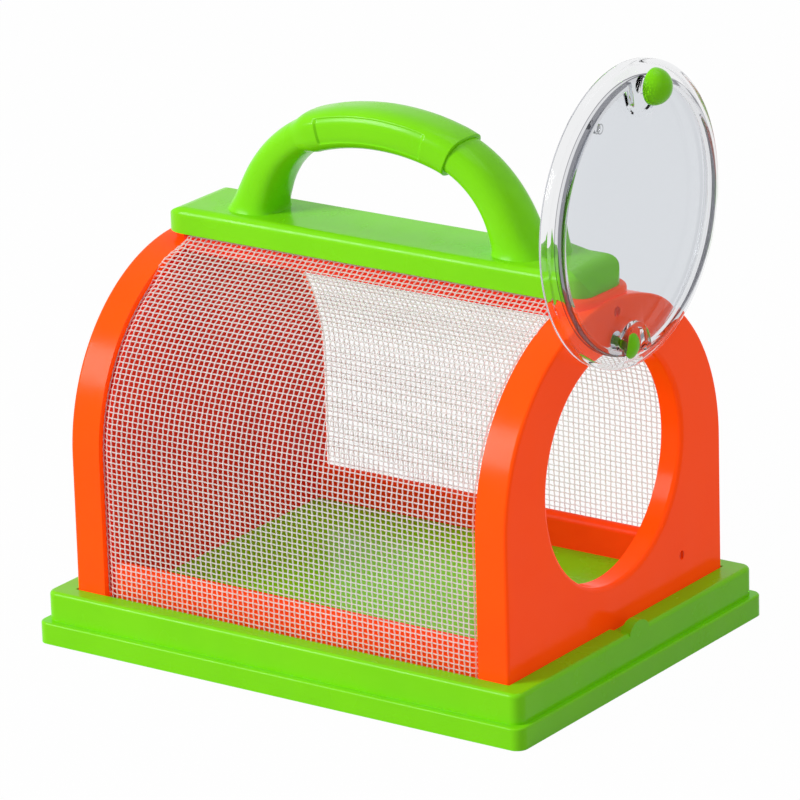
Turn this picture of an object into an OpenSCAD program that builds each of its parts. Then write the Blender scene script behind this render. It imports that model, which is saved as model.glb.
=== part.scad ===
// Barrel-roofed mesh cage for catching and watching insects, with a clear round door
// Millimetres. Origin: middle of the underside. +Z up, +X towards the end with the door

/* [Base] */
// Length over the lower flange, along X
base_len = 200; // [190:1:220]
// Width over the lower flange, along Y
base_wid = 151.3; // [142:0.1:165]
// Height of the lower flange
flange_h = 7.7; // [5:0.1:10]
// Height of the ledge round the cage
ledge_z = 18.3; // [16:0.1:24]
// Step from the flange to the plinth at the ends
step_x = 2.2; // [1:0.1:4]
// Step from the flange to the plinth at the sides
step_y = 2.8; // [1:0.1:4]
// Radius of the base's upright corners
base_corner = 4; // [3:0.1:6]
// Rounding of the ledge's outer edge
base_edge = 1.5; // [0.5:0.1:2]
// Wall of the tray
tray_wall = 2.2; // [1.5:0.1:3]
// Depth of the recess that locates the cage
recess_depth = 1.5; // [1:0.1:2.2]
// Clearance between the cage and the recess
seat_gap = 0.4; // [0.2:0.05:0.8]
// Width of the catch on each end of the ledge
catch_w = 11.5; // [8:0.5:20]
// Height of the catch above the ledge
catch_rise = 3.1; // [2:0.1:3.4]
// Length of the catch, in from the plinth's end
catch_len = 3.8; // [2:0.1:5]
// Depth of the finger slot behind the catch
slot_depth = 1.2; // [0.5:0.1:1.4]

/* [Arches] */
// Ledge outside each arch at the ends, from the flange's edge
end_ledge = 10.8; // [9:0.1:14]
// Ledge outside each arch at the sides, from the flange's edge
side_ledge = 9.75; // [8:0.05:14]
// Height of the crown above the ground
crown_z = 132.5; // [127:0.1:140]
// Width of each arch's band, along X
band_w = 12; // [10:0.1:15]
// Wall of the arches
arch_wall = 2.2; // [1.6:0.1:3]
// Rounding of the arches' outer edge
arch_edge = 1.2; // [0.6:0.1:2]
// Height of the seat for the handle plate above the crown
seat_rise = 2; // [1.5:0.1:4]
// How far the front seat stands out round the handle plate
seat_margin = 2.4; // [0.5:0.1:2.8]
// How far the rear seat is tucked in under the handle plate's sides
seat_tuck = 7; // [2:0.1:9]
// Diameter of the round opening
opening_d = 82; // [70:1:86]
// Height of the opening's centre
opening_z = 74.2; // [68:0.1:76]
// Depth of the opening's collar
collar_depth = 8; // [5:0.1:9]
// Wall of the collar
collar_wall = 2; // [1.5:0.1:2.4]
// Rounding of the opening's lip
lip_r = 1.8; // [1:0.1:2]

/* [Inner frame] */
// Reach of the clamp hoops past the bands, along X
hoop_reach = 2; // [1:0.1:3]
// Length of the clamp hoops inside the bands, along X
hoop_tuck = 6.8; // [5:0.1:7.2]
// Thickness of the clamp hoops, across the barrel
hoop_t = 4.5; // [3.5:0.1:6]
// Thickness of the web and of the rear lining
web_t = 2; // [1.5:0.1:3]
// Height of the front hoop's web above the floor
web_h = 20; // [18:0.5:22]
// Height of the sill rails
rail_h = 12.2; // [10:0.1:16]
// Thickness of the sill rails
rail_t = 5.5; // [4.6:0.1:8]
// Width of the spine under the handle plate
spine_w = 27; // [24:0.5:28]

/* [Net] */
// Depth of the net below the bands' surface
net_inset = 2.4; // [2.3:0.1:3]
// Thickness of the net's hoops
net_t = 0.8; // [0.6:0.05:1]
// Width of the net's strands
strand_w = 1; // [0.6:0.1:1.5]
// Spacing of the strands of the construction net
net_cell = 12.6; // [12:0.1:20]

/* [Handle] */
// Set-back of the handle plate's ends from the arches' faces
plate_end_in = 4; // [3.2:0.1:9.2]
// Width of the handle plate
plate_wid = 31.3; // [28:0.1:36]
// Height of the handle plate
plate_h = 9; // [7:0.1:12]
// Radius of the handle plate's corners
plate_corner = 8.5; // [5:0.1:10]
// Rounding of the handle plate's top edge
plate_edge = 3; // [1:0.1:4]
// Height of the upright part of the handle plate's ends, below their rounding
plate_lip = 0.4; // [0.2:0.1:3]
// Wall of the handle plate
plate_wall = 2.5; // [2:0.1:3]
// Rise of the bow's centreline above the plate
bow_rise = 35.7; // [32:0.1:45]
// Radius of the bow's top arc
bow_top_r = 88.5; // [70:0.5:110]
// Radius of the bow's shoulders
bow_side_r = 39.8; // [34:0.1:44]
// Thickness of the bow beside the grip
bow_t = 12.2; // [10:0.1:14]
// Thickness of the bow's foot
foot_t = 18; // [16:0.1:20]
// Width of the bow, along Y
bow_w = 19; // [15:0.1:22]
// Thickness of the grip sleeve
grip_t = 14.6; // [13.4:0.1:17]
// Width of the grip sleeve
grip_w = 20.4; // [20.2:0.1:24]
// Length of the grip sleeve, along the bow
grip_len = 61.6; // [52:0.1:70]

/* [Door] */
// Diameter of the clear disc
door_d = 103.6; // [98:0.1:104]
// Thickness of the clear disc
door_t = 1.8; // [1.2:0.1:2.6]
// Depth of the skirt behind the disc's rim
skirt_h = 2.2; // [1:0.1:3.5]
// Wall of the skirt
skirt_w = 1.8; // [1.2:0.1:3]
// Gap between the front panel and the disc
door_gap = 5.3; // [4.5:0.1:6.5]
// Height of the pivot above the opening's centre
pivot_up = 43.4; // [43.2:0.1:46]
// Distance from the pivot to the disc's centre
door_arm = 44; // [42:0.1:44.2]
// Lean of the open door from upright
door_lean = 5.3; // [0:0.1:20]
// Set-back of the disc's stiffening ring from its rim
ring_in = 5.1; // [4.8:0.1:8.8]
// Width of the stiffening ring
ring_w = 1.9; // [1.2:0.1:3]
// Height of the stiffening ring
ring_h = 2.2; // [1:0.1:3]
// Radius of the ring's scallop round the pivot
pivot_scallop_r = 7.6; // [5.6:0.1:8]
// Radius of the ring's scallop round the knob
knob_scallop_r = 9.6; // [7:0.1:11]
// Set-back of the knob's centre from the disc's rim
knob_in = 8; // [6.8:0.1:9.8]
// Diameter of the knob
knob_d = 12.6; // [10:0.1:14]
// Height of the knob's dome
knob_h = 6.2; // [4:0.1:6.3]
// Length of the clear boss under the knob
knob_stand = 5.1; // [4:0.1:7]
// Diameter of the pivot pin
pin_d = 3.2; // [2.6:0.1:4]
// Diameter of the pivot pin's head
pin_head_d = 8.6; // [7:0.1:9.6]
// Height of the pivot pin's head
pin_head_h = 2; // [1:0.1:2.5]
// Radial clearance of the door on its pin
pin_play = 0.06; // [0.03:0.01:0.1]
// Diameter of the nub behind the disc
nub_d = 3.2; // [2:0.1:4]
// Length of the nub behind the disc
nub_len = 2; // [1:0.1:3]

/* [Fasteners] */
// Diameter of the screws' shanks
screw_d = 2.4; // [2:0.1:3]
// Diameter of the screws' heads
screw_head_d = 4.4; // [4:0.1:5]
// Height of the screws' heads
screw_head_h = 1.4; // [1:0.1:2]
// Outer diameter of the screw bosses
boss_d = 6; // [5:0.1:7]

/* [Hidden] */
$fn = 96;
sweep_sides = 20;
over = 1;
rest_gap = 0.3;
slip = 0.15;
peg_fit = 0.02;
pin_seat = 0.02;
floor_z = ledge_z - recess_depth;
// Places of the stiffening ribs under the tray, as shares of the plinth's length
rib_shares = [-1/3, 0, 1/3];
plinth_len = base_len - 2 * step_x;
plinth_wid = base_wid - 2 * step_y;
face_x = base_len / 2 - end_ledge;
band_x = face_x - band_w;
arch_r = base_wid / 2 - side_ledge;
spring_z = crown_z - arch_r;
band_in_r = arch_r - arch_wall;
seat_z = crown_z + seat_rise;
net_r = arch_r - net_inset;
net_in_r = net_r - net_t;
hoop_r = net_in_r - slip;
hoop_tuck_r = band_in_r - rest_gap;
hoop_in_r = hoop_r - hoop_t;
hoop_x = band_x - hoop_reach;
hoop_end_x = band_x + hoop_tuck;
opening_r = opening_d / 2;
pivot_z = opening_z + pivot_up;
disc_x = face_x + door_gap;
disc_front_x = disc_x + door_t;
plate_len = 2 * (face_x - plate_end_in);
plate_top = seat_z + plate_h;
plate_end_r = plate_h - plate_lip;
ring_d = door_d - 2 * ring_in;
knob_arm = door_d / 2 - knob_in;
// Screws that hold each arch to its clamp hoop: [y, z]
low_screw_in = 25.4;
low_screw_up = 13.5;
low_screw_y = arch_r - low_screw_in;
low_screw_z = floor_z + low_screw_up;
top_screw_z = crown_z - net_inset - net_t - hoop_t / 2 - rest_gap;
arch_screws = [[0, top_screw_z], [low_screw_y, low_screw_z], [-low_screw_y, low_screw_z]];
pilot_d = screw_d + 2 * slip;
// Boss behind the front face that the pivot pin is pushed into
pin_wall = 2;
pivot_boss_d = pin_d + 2 * pin_wall;
pin_bite = 7;
// Small upright marks on the front face: place [y, z] and size [width, height]
mark_drop = 4.8;
mark_places = [[1.7, crown_z - mark_drop], arch_screws[1]];
mark_sizes = [[2.3, 3.9], [1.5, 3.2]];
mark_depth = 0.7;
// Rounding of the seats' top edges, and the corners of the rear seat
seat_edge = 1.5;
rear_seat_corner = 2;
// Pegs of the sill rails, and the sockets for them in the clamp hoops
rail_y = hoop_r - rail_t / 2;
peg_d = rail_t / 2;
peg_len = 5;
// Screws that hold the handle plate to the spine, in from the bow's feet
plate_screw_in = 20;
plate_screw_z = spring_z + hoop_r;
plate_boss_d = 7.4;
bow_screw_bite = 7;
// Net section: leg, arc, then a flat up to the spine's side
net_drop = 0.8;
net_mid_r = net_r - net_t / 2;
net_top_y = spine_w / 2 + net_t / 2 + rest_gap;
net_top_z = seat_z - net_drop;
net_foot_z = floor_z + rest_gap;
net_top_r = norm([net_top_y, net_top_z - spring_z]);
net_top_a = atan2(net_top_y, net_top_z - spring_z);
net_flat_a = acos(net_mid_r / net_top_r);
net_tangent_a = net_top_a + net_flat_a;
net_flat = net_mid_r * tan(net_flat_a);
net_leg = spring_z - net_foot_z;
net_arc = net_mid_r * (90 - net_tangent_a) * PI / 180;
net_path = net_leg + net_arc + net_flat;
net_half = band_x - rest_gap;
bar_count_share = 8 / 7;
net_bars = floor(net_path / net_cell * bar_count_share);
net_posts = floor(2 * net_half / net_cell);
// Each net is laid in strips that are nearly flat: the bars where they part, and the slit along those
net_slit = 0.1;
leg_bars = floor(net_leg / net_path * net_bars);
strip_bars = 2;
net_cuts = concat([0], [for (k = [leg_bars:strip_bars:net_bars - strip_bars]) k], [net_bars]);
// Bow: a flat top arc, tighter shoulders, straight legs
bow_top_z = plate_top + bow_rise;
bow_leg_a = 66.7;
bow_top_a = 16.2;
shoulder_x = (bow_top_r - bow_side_r) * sin(bow_top_a);
shoulder_z = bow_top_z - bow_top_r + (bow_top_r - bow_side_r) * cos(bow_top_a);
leg_x = shoulder_x + bow_side_r * sin(bow_leg_a);
leg_z = shoulder_z + bow_side_r * cos(bow_leg_a);
foot_x = leg_x + (leg_z - plate_top) / tan(bow_leg_a);
plate_screw_x = foot_x - plate_screw_in;
leg_rings = 4;
arc_rings = 8;
flare_share = 0.12;
top_arc = bow_top_r * bow_top_a * PI / 180;
// Half angle of the grip, where the bow's bare skin starts beside it, and the grip's wall
grip_a = bow_angle(grip_len / 2);
side_a = bow_angle(grip_len / 2 + slip);
grip_wall = 2.1;
core_t = grip_t - 2 * grip_wall;
core_w = grip_w - 2 * grip_wall;
// Door's bosses
pin_boss_d = 7;
knob_boss_d = knob_d / 2;
knob_peg_d = knob_d / 4;
// Place of the nub from the disc's centre, [y, z]. Shut, it lies just inside the opening's edge
nub_a = -36;
nub_in = 0.9;
nub_place = (opening_r - nub_in) * [sin(nub_a), cos(nub_a)];

LIME = "yellowgreen";
ORANGE = "orangered";

// Outline helpers

module arch_2d(radius, foot) {
    intersection() {
        translate([0, spring_z]) circle(r = radius);
        translate([-radius, spring_z]) square([2 * radius, radius]);
    }
    translate([-radius, foot]) square([2 * radius, spring_z - foot]);
}

// Arch-shaped slab from x to x + length, standing on foot
module arch_slab(radius, foot, x, length) {
    translate([x, 0, 0]) rotate([90, 0, 90]) linear_extrude(length) arch_2d(radius, foot);
}

// Round bead along the arch's edge
module arch_bead(radius, foot, x, bead) {
    translate([x, 0, spring_z]) rotate([90, 0, 90]) rotate_extrude(angle = 180)
        translate([radius, 0]) circle(r = bead);
    for (side = [-1, 1])
        translate([x, side * radius, foot]) cylinder(r = bead, h = spring_z - foot);
}

// Half section of a slab with a rounded top edge
module edge_profile(half, height, edge) {
    square([half, height - edge]);
    square([half - edge, height]);
    translate([half - edge, height - edge]) intersection() {
        circle(r = edge);
        square(edge);
    }
}

// Slab with round corners and a rounded top edge, standing on z = 0
module soft_slab(length, width, height, corner, edge) {
    x = length / 2 - corner;
    y = width / 2 - corner;
    for (k = [0:3])
        translate([(k == 0 || k == 3) ? x : -x, (k < 2) ? y : -y, 0])
            rotate([0, 0, 90 * k]) rotate_extrude(angle = 90) edge_profile(corner, height, edge);
    for (k = [0, 1]) {
        translate([-x, 0, 0]) rotate([90, 0, 90]) linear_extrude(2 * x) mirror([k, 0])
            translate([y - over, 0]) edge_profile(corner + over, height, edge);
        translate([0, y, 0]) rotate([90, 0, 0]) linear_extrude(2 * y) mirror([k, 0])
            translate([x - over, 0]) edge_profile(corner + over, height, edge);
    }
    translate([-x, -y, 0]) cube([2 * x, 2 * y, height]);
}

module round_slab(length, width, height, corner) {
    x = length / 2 - corner;
    y = width / 2 - corner;
    for (sx = [-1, 1], sy = [-1, 1]) translate([sx * x, sy * y, 0]) cylinder(r = corner, h = height);
    translate([-x, -width / 2, 0]) cube([2 * x, width, height]);
    translate([-length / 2, -y, 0]) cube([length, 2 * y, height]);
}

// Rod along X from x to x + length
module x_rod(diameter, x, length, y, z) {
    translate([x, y, z]) rotate([0, 90, 0]) cylinder(d = diameter, h = length);
}

// Base

// Arched lip on the ledge's outer edge that the arch's foot snaps behind
module catch() {
    catch_r = (catch_rise ^ 2 + (catch_w / 2) ^ 2) / (2 * catch_rise);
    intersection() {
        x_rod(2 * catch_r, plinth_len / 2 - catch_len, catch_len, 0, ledge_z + catch_rise - catch_r);
        translate([plinth_len / 2 - catch_len, -catch_w / 2, floor_z])
            cube([catch_len, catch_w, ledge_z + catch_rise - floor_z]);
    }
}

module finger_slot() {
    start = face_x + seat_gap;
    translate([start, -catch_w / 2, ledge_z - slot_depth])
        cube([plinth_len / 2 - catch_len - start, catch_w, slot_depth + over]);
}

module base_tray() {
    color(LIME) {
        difference() {
            union() {
                soft_slab(base_len, base_wid, flange_h, base_corner, base_edge / 2);
                soft_slab(plinth_len, plinth_wid, ledge_z, base_corner, base_edge);
            }
            translate([-face_x - seat_gap, -arch_r - seat_gap, floor_z])
                cube([2 * (face_x + seat_gap), 2 * (arch_r + seat_gap), ledge_z]);
            translate([0, 0, -over])
                round_slab(plinth_len - 2 * tray_wall, plinth_wid - 2 * tray_wall,
                           floor_z - tray_wall + over, base_corner - tray_wall);
            for (k = [0, 1]) mirror([k, 0, 0]) finger_slot();
        }
        for (k = [0, 1]) mirror([k, 0, 0]) catch();
        for (share = rib_shares)
            translate([share * plinth_len - tray_wall / 2, -plinth_wid / 2 + tray_wall / 2, 0])
                cube([tray_wall, plinth_wid - tray_wall, floor_z - tray_wall / 2]);
    }
}

// Arches. Both are drawn at the door's end and mirrored for the rear

// Hollow arch. Its child stands on the outside
module arch_shell() {
    difference() {
        union() {
            arch_slab(arch_r, floor_z, band_x, band_w - arch_edge);
            arch_slab(arch_r - arch_edge, floor_z, band_x, band_w);
            arch_bead(arch_r - arch_edge, floor_z, face_x - arch_edge, arch_edge);
            children();
        }
        arch_slab(band_in_r, floor_z + arch_wall, band_x - over, band_w - arch_wall + over);
    }
}

// Seat for the handle plate on an arch's crown
module handle_seat(length, width, corner) {
    intersection() {
        translate([0, 0, spring_z]) soft_slab(length, width, seat_z - spring_z, corner, seat_edge);
        translate([band_x, -width / 2, spring_z])
            cube([band_w, width, seat_z - spring_z]);
    }
}

module screw_bosses() {
    for (place = arch_screws)
        x_rod(boss_d, hoop_end_x, face_x - arch_wall / 2 - hoop_end_x, place[0], place[1]);
}

module screw_pilots(end) {
    for (place = arch_screws)
        x_rod(pilot_d, hoop_end_x - over, end - hoop_end_x + over, place[0], place[1]);
}

// Heads of the rear arch's screws lie in its outer face
module head_seats() {
    depth = screw_head_h + slip;
    for (place = arch_screws)
        x_rod(screw_head_d + 2 * slip, face_x - depth, depth + over, place[0], place[1]);
}

module face_marks() {
    for (k = [0, 1])
        let (w = mark_sizes[k][0], straight = mark_sizes[k][1] - w)
            translate([face_x - mark_depth, mark_places[k][0], mark_places[k][1]]) {
                for (end = [-1, 1]) x_rod(w, 0, mark_depth + over, 0, end * straight / 2);
                translate([0, -w / 2, -straight / 2]) cube([mark_depth + over, w, straight]);
            }
}

// Collar of the round opening, with a full-round lip at the face
module collar() {
    translate([face_x, 0, opening_z]) rotate([0, -90, 0]) rotate_extrude() {
        translate([opening_r, lip_r]) square([collar_wall, collar_depth - lip_r]);
        translate([opening_r + lip_r, lip_r]) circle(r = lip_r);
    }
}

module front_arch_panel() {
    color(ORANGE) difference() {
        union() {
            difference() {
                union() {
                    arch_shell() handle_seat(plate_len + 2 * seat_margin, plate_wid + 2 * seat_margin,
                                             plate_corner + seat_margin);
                    x_rod(pivot_boss_d, face_x - pin_bite, pin_bite - arch_wall / 2, 0, pivot_z);
                }
                x_rod(opening_d + 2 * lip_r, face_x - arch_wall - over, arch_wall + 2 * over, 0, opening_z);
                x_rod(opening_d, face_x - band_w, band_w, 0, opening_z);
            }
            collar();
            screw_bosses();
        }
        screw_pilots(face_x - arch_wall);
        face_marks();
        x_rod(pin_d + 2 * pin_seat, face_x - pin_bite - over, pin_bite + 2 * over, 0, pivot_z);
    }
}

module rear_arch_panel() {
    color(ORANGE) mirror([1, 0, 0]) difference() {
        union() {
            arch_shell() handle_seat(plate_len, plate_wid - 2 * seat_tuck, rear_seat_corner);
            screw_bosses();
        }
        screw_pilots(face_x);
        head_seats();
    }
}

// Inner frame

module hoop_ring() {
    difference() {
        union() {
            arch_slab(hoop_r, floor_z, hoop_x, hoop_end_x - hoop_x);
            arch_slab(hoop_tuck_r, floor_z + arch_wall, band_x + rest_gap, hoop_end_x - band_x - rest_gap);
        }
        arch_slab(hoop_in_r, floor_z - over, hoop_x - over, hoop_end_x - hoop_x + 2 * over);
        translate([band_x - rest_gap, -arch_r, floor_z - over])
            cube([band_w, 2 * arch_r, arch_wall + over + slip]);
        rail_sockets();
    }
}

module rail_sockets() {
    for (side = [-1, 1])
        x_rod(peg_d + 2 * slip, hoop_x - over, peg_len + seat_gap + over,
              side * rail_y, floor_z + rail_h / 2);
}

module clamp_screw_holes(start) {
    for (place = arch_screws)
        x_rod(pilot_d, start, hoop_end_x - start + over, place[0], place[1]);
}

module front_clamp_hoop() {
    color(ORANGE) difference() {
        union() {
            hoop_ring();
            translate([hoop_end_x - web_t, -hoop_in_r - hoop_t / 2, floor_z + arch_wall + slip])
                cube([web_t, 2 * hoop_in_r + hoop_t, web_h]);
        }
        clamp_screw_holes(hoop_x - over);
        x_rod(opening_d + 2 * (collar_wall + seat_gap), face_x - collar_depth - over,
              collar_depth, 0, opening_z);
    }
}

module rear_lining() {
    color(ORANGE) mirror([1, 0, 0]) difference() {
        union() {
            hoop_ring();
            arch_slab(hoop_in_r + hoop_t / 2, floor_z, hoop_x, web_t);
            for (k = [1, 2])
                x_rod(boss_d, hoop_x + web_t / 2, hoop_end_x - hoop_x - web_t / 2,
                      arch_screws[k][0], arch_screws[k][1]);
        }
        clamp_screw_holes(hoop_x + web_t);
        rail_sockets();
    }
}

module sill_rail(side) {
    length = 2 * (hoop_x - slip);
    color(ORANGE) {
        translate([-length / 2, side * rail_y - rail_t / 2, floor_z])
            cube([length, rail_t, rail_h - rail_t / 2]);
        x_rod(rail_t, -length / 2, length, side * rail_y, floor_z + rail_h - rail_t / 2);
        x_rod(peg_d, -length / 2 - peg_len, length + 2 * peg_len, side * rail_y, floor_z + rail_h / 2);
    }
}

module left_sill_rail() { sill_rail(1); }
module right_sill_rail() { sill_rail(-1); }

module top_spine() {
    half = band_x - slip;
    color(ORANGE) difference() {
        translate([-half, -spine_w / 2, spring_z]) cube([2 * half, spine_w, seat_z - spring_z]);
        x_rod(2 * (hoop_r + slip), -half - over, 2 * half + 2 * over, 0, spring_z);
        for (side = [-1, 1]) translate([side * plate_screw_x, 0, spring_z])
            cylinder(d = pilot_d, h = seat_z - spring_z + over);
        for (side = [-1, 1]) translate([side * foot_x, 0, spring_z])
            cylinder(d = screw_head_d + 2 * seat_gap, h = seat_z - spring_z + over);
    }
}

// Net: a curved sheet with square gaps, in strips that are closed skins of triangles

// Point of the net's section, [y, z], at a distance from its foot and a height off its middle
function net_point(place, out) =
    let (a = place < net_leg ? 90 : max(net_tangent_a, 90 - (place - net_leg) / net_mid_r * 180 / PI),
         past = place < net_leg ? place - net_leg : max(0, place - net_leg - net_arc),
         radius = net_mid_r + out)
        [radius * sin(a) - past * cos(a), spring_z + radius * cos(a) + past * sin(a)];

// Both edges of the strands a to b, out of a row of a given count over a length. Where the row goes
// on past a or b, that strand is slit along its middle
function strand_edges(count, length, a, b) = [
    for (k = [a:b], edge = [k == a && a > 0 ? (strand_w + net_slit) / 2 : 0,
                            k == b && b < count ? (strand_w - net_slit) / 2 : strand_w])
        k / count * (length - strand_w) + edge
];

// Two triangles of the wall under the edge from p to q. The outer layer's points start at o
function rim(p, q, o) = [[o + q, o + p, p], [o + q, p, q]];

module net_strip(first, last) {
    up = strand_edges(net_bars, net_path, first, last);
    along = strand_edges(net_posts, 2 * net_half, 0, net_posts);
    m = len(up);
    n = len(along);
    o = m * n;
    points = [for (out = [-net_t / 2, net_t / 2], place = up, x = along)
        concat(x - net_half, net_point(place, out))];
    solid = function (i, j) min(i, j) >= 0 && i < m - 1 && j < n - 1 && (i % 2) * (j % 2) == 0;
    faces = [for (i = [0:m - 2], j = [0:n - 2]) if (solid(i, j))
        let (a = i * n + j, b = a + 1, c = b + n, d = a + n) each concat(
            [[o + a, o + b, o + c], [o + a, o + c, o + d], [a, c, b], [a, d, c]],
            solid(i - 1, j) ? [] : rim(a, b, o),
            solid(i, j + 1) ? [] : rim(b, c, o),
            solid(i + 1, j) ? [] : rim(c, d, o),
            solid(i, j - 1) ? [] : rim(d, a, o)
        )];
    polyhedron(points, faces, convexity = 20);
}

module net_side() {
    for (k = [0:len(net_cuts) - 2]) net_strip(net_cuts[k], net_cuts[k + 1]);
}

module left_net() { color("white") net_side(); }
module right_net() { color("white") mirror([0, 1, 0]) net_side(); }

// Handle

// Side view of the plate, whose ends round down to its seats
module plate_profile() {
    x = plate_len / 2 - plate_end_r;
    for (side = [-1, 1]) translate([side * x, plate_lip]) circle(r = plate_end_r);
    translate([-x, -over]) square([2 * x, plate_h + over]);
    translate([-plate_len / 2, -over]) square([plate_len, plate_lip + over]);
}

module handle_plate() {
    x = plate_screw_x;
    color(LIME) difference() {
        union() {
            difference() {
                translate([0, 0, seat_z]) intersection() {
                    soft_slab(plate_len, plate_wid, plate_h, plate_corner, plate_edge);
                    translate([0, plate_wid / 2 + over, 0]) rotate([90, 0, 0])
                        linear_extrude(plate_wid + 2 * over) plate_profile();
                }
                translate([0, 0, seat_z - over])
                    round_slab(plate_len - 2 * (plate_end_r - plate_wall), plate_wid - 2 * plate_wall,
                               plate_h - plate_wall + over, plate_corner - plate_wall);
            }
            for (side = [-1, 1])
                translate([side * x, 0, seat_z]) cylinder(d = plate_boss_d, h = plate_h - plate_wall / 2);
        }
        for (side = [-1, 1])
            translate([side * x, 0, seat_z - over]) cylinder(d = pilot_d, h = plate_h - plate_wall + over);
        for (side = [-1, 1])
            translate([side * foot_x, 0, seat_z]) cylinder(d = pilot_d, h = plate_h + over);
    }
}

// Angle from the top of the point that lies a length along the bow from its top
function bow_angle(length) = length < top_arc
    ? length / bow_top_r * 180 / PI
    : bow_top_a + (length - top_arc) / bow_side_r * 180 / PI;

// Point of the bow's centreline at an angle from the top, 0 to bow_leg_a
function bow_point(a) = abs(a) < bow_top_a
    ? [bow_top_r * sin(a), bow_top_z - bow_top_r + bow_top_r * cos(a)]
    : [sign(a) * shoulder_x + bow_side_r * sin(a), shoulder_z + bow_side_r * cos(a)];

function bow_half_t(z) = bow_t / 2 + (foot_t - bow_t) / 2 * ((bow_top_z - z) / bow_rise) ^ 2;

// One oval ring of the sweep: centre [x, z], axis across the arch [x, z], half sizes
function oval(centre, across, half_t, half_w) = [
    for (k = [0:sweep_sides - 1])
        let (c = cos(360 * k / sweep_sides), s = sin(360 * k / sweep_sides))
            [centre[0] + across[0] * half_t * c, half_w * s, centre[1] + across[1] * half_t * c]
];

// Rings from the left foot over the top to the right foot
function leg_ring(side, u) =
    let (x = leg_x + (foot_x - leg_x) * u, z = leg_z + (plate_top - leg_z) * u,
         a = bow_leg_a + (90 - bow_leg_a) * u, flare = 1 + flare_share * u ^ 4)
        oval([side * x, z], [side * sin(a), cos(a)], bow_half_t(z) * flare, bow_w / 2 * flare);
function arc_ring(a) =
    let (p = bow_point(a), core = abs(a) <= grip_a)
        oval(p, [sin(a), cos(a)], core ? core_t / 2 : bow_half_t(p[1]), core ? core_w / 2 : bow_w / 2);
core_angles = [for (k = [0:arc_rings]) -grip_a + 2 * grip_a * k / arc_rings];
side_angles = [for (k = [0:arc_rings]) side_a + (bow_leg_a - side_a) * k / arc_rings];
bow_rings = concat(
    [for (k = [0:leg_rings - 1]) leg_ring(-1, 1 - k / leg_rings)],
    [for (k = [len(side_angles) - 1:-1:0]) arc_ring(-side_angles[k])],
    [for (a = core_angles) arc_ring(a)],
    [for (a = side_angles) arc_ring(a)],
    [for (k = [1:leg_rings]) leg_ring(1, k / leg_rings)]
);

// Triangles of the wall between rings i and j of a list of rings with n points each
function wall(i, j, n) = [for (k = [0:n - 1])
    let (a = i * n + k, b = i * n + (k + 1) % n, d = (j - i) * n) each [[a, b, a + d], [b, b + d, a + d]]];

// Closed skin over a row of rings, with flat ends
module skin(rings) {
    n = len(rings[0]);
    m = len(rings);
    last = (m - 1) * n;
    polyhedron([for (ring = rings) each ring], concat(
        [for (i = [0:m - 2]) each wall(i, i + 1, n)],
        [for (k = [1:n - 2]) [0, k + 1, k]],
        [for (k = [1:n - 2]) [last, last + k, last + k + 1]]
    ), convexity = 6);
}

// Sleeve: a loop of rings out along the outside and back along the bore
module sleeve(rings) {
    n = len(rings[0]);
    m = len(rings);
    polyhedron([for (ring = rings) each ring],
               [for (i = [0:m - 1]) each wall(i, (i + 1) % m, n)], convexity = 6);
}

module handle_bow() {
    color(LIME) difference() {
        skin(bow_rings);
        for (side = [-1, 1])
            translate([side * foot_x, 0, plate_top - over])
                cylinder(d = pilot_d, h = bow_screw_bite + 2 * over);
    }
}

module handle_grip() {
    outer = [for (a = core_angles) oval(bow_point(a), [sin(a), cos(a)], grip_t / 2, grip_w / 2)];
    bore = [for (k = [len(core_angles) - 1:-1:0])
        let (a = core_angles[k]) oval(bow_point(a), [sin(a), cos(a)], core_t / 2 + slip, core_w / 2 + slip)];
    color(LIME) sleeve(concat(outer, bore));
}

// Fasteners

module screw(length) {
    cylinder(d = screw_d, h = length);
    translate([0, 0, -screw_head_h]) cylinder(d = screw_head_d, h = screw_head_h);
}

module bow_screws() {
    color("silver") for (side = [-1, 1])
        translate([side * foot_x, 0, plate_top - plate_wall]) screw(plate_wall + bow_screw_bite);
}

module plate_screws() {
    color("silver") for (side = [-1, 1])
        translate([side * plate_screw_x, 0, plate_screw_z])
            screw(plate_top - plate_wall - seat_gap - plate_screw_z);
}

module arch_screw_set() {
    end = face_x - arch_wall - seat_gap;
    starts = [hoop_x, hoop_end_x - web_t, hoop_end_x - web_t];
    for (k = [0:2])
        translate([starts[k], arch_screws[k][0], arch_screws[k][1]])
            rotate([0, 90, 0]) screw(end - starts[k]);
}

module front_panel_screws() { color("silver") arch_screw_set(); }

module rear_panel_screws() {
    start = face_x - screw_head_h - slip;
    color("silver") mirror([1, 0, 0]) for (place = arch_screws)
        translate([start, place[0], place[1]]) rotate([0, -90, 0]) screw(start - hoop_x - web_t - seat_gap);
}

// Door. Drawn upright above its pivot, then leaned about it

module door_pose() {
    translate([0, 0, pivot_z]) rotate([-door_lean, 0, 0]) children();
}

module ring_wall(diameter, wall, x, length, z) {
    difference() {
        x_rod(diameter, x, length, 0, z);
        x_rod(diameter - 2 * wall, x - over, length + 2 * over, 0, z);
    }
}

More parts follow.
